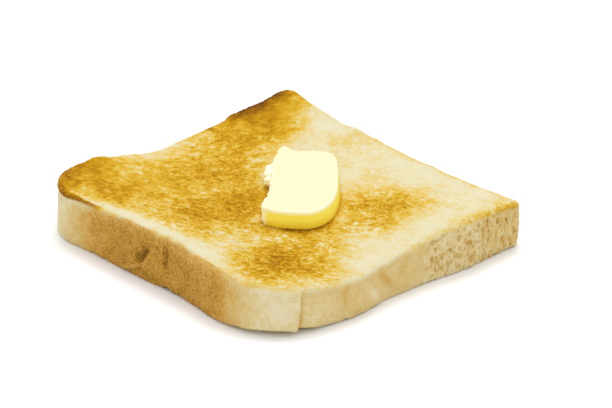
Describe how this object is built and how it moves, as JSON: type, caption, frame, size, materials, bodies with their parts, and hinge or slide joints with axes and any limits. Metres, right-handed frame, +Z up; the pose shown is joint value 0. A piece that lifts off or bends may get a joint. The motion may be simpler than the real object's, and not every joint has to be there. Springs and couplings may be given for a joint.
{
  "type": "buttered toast",
  "caption": "Square slice of toasted white bread, curled at its corners, with a pat of butter lying on it.",
  "frame": {"origin": "under the middle of the slice, on the surface it rests on", "axes": "+Z up through the slice's thickness, -Y towards the loaf's rounded top, +X towards the loaf's right side as seen from above with the top of the loaf towards the viewer"},
  "size_m": [0.1038, 0.1006, 0.0182],
  "materials": {
    "toast": "dry toasted white bread: matte, pale crumb with golden brown patches, and a tan baked crust round its edge",
    "butter": "cold butter: smooth and satin, with a pale cut face and a deeper yellow skin on its outer side"
  },
  "bodies": {
    "root": {"toast_slice": "toast", "butter_pat": "butter"}
  },
  "joints": []
}
